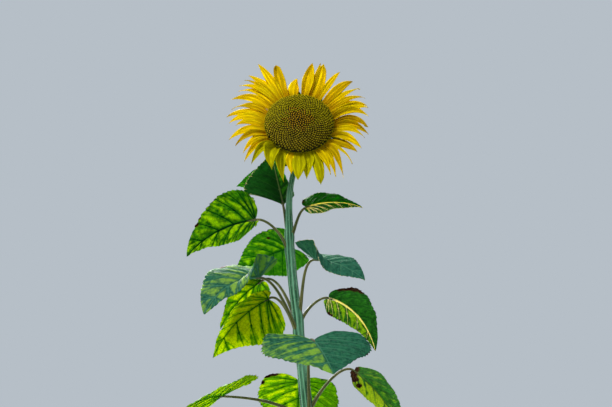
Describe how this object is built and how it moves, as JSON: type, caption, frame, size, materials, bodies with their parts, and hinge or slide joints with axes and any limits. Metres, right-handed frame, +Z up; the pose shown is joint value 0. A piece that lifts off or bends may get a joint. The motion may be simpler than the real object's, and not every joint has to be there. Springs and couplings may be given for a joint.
{
  "type": "sunflower plant",
  "caption": "Rooted sunflower plant in bloom: ribbed leaning stem, broad drooping heart-shaped leaves on arching stalks, one yellow-rayed flower head.",
  "frame": {"origin": "middle of the flat cut under the stem, at ground level", "axes": "+Z up the plant; -Y is the side the flower head faces"},
  "size_m": [0.7055, 0.6381, 1.8947],
  "materials": {
    "stem": "matt, ribbed and hairy green",
    "stalk": "satin olive green",
    "leaf": "satin veined green with yellowing patches",
    "bract": "matt green",
    "floret": "matt olive and brown",
    "ray": "satin yellow"
  },
  "bodies": {
    "root": {"stem": "stem", "leaf_01_stalk": "stalk", "leaf_01_blade": "leaf", "leaf_02_stalk": "stalk", "leaf_02_blade": "leaf", "leaf_03_stalk": "stalk", "leaf_03_blade": "leaf", "leaf_04_stalk": "stalk", "leaf_04_blade": "leaf", "leaf_05_stalk": "stalk", "leaf_05_blade": "leaf", "leaf_06_stalk": "stalk", "leaf_06_blade": "leaf", "leaf_07_stalk": "stalk", "leaf_07_blade": "leaf", "leaf_08_stalk": "stalk", "leaf_08_blade": "leaf", "leaf_09_stalk": "stalk", "leaf_09_blade": "leaf", "leaf_10_stalk": "stalk", "leaf_10_blade": "leaf", "leaf_11_stalk": "stalk", "leaf_11_blade": "leaf", "leaf_12_stalk": "stalk", "leaf_12_blade": "leaf", "leaf_13_stalk": "stalk", "leaf_13_blade": "leaf", "leaf_14_stalk": "stalk", "leaf_14_blade": "leaf", "leaf_15_stalk": "stalk", "leaf_15_blade": "leaf", "leaf_16_stalk": "stalk", "leaf_16_blade": "leaf", "leaf_17_stalk": "stalk", "leaf_17_blade": "leaf", "leaf_18_stalk": "stalk", "leaf_18_blade": "leaf", "leaf_19_stalk": "stalk", "leaf_19_blade": "leaf", "leaf_20_stalk": "stalk", "leaf_20_blade": "leaf", "leaf_21_stalk": "stalk", "leaf_21_blade": "leaf", "leaf_22_stalk": "stalk", "leaf_22_blade": "leaf", "leaf_23_stalk": "stalk", "leaf_23_blade": "leaf", "leaf_24_stalk": "stalk", "leaf_24_blade": "leaf", "leaf_25_stalk": "stalk", "leaf_25_blade": "leaf", "leaf_26_stalk": "stalk", "leaf_26_blade": "leaf", "receptacle": "bract", "seed_disc": "floret", "ray_florets": "ray"}
  },
  "joints": []
}
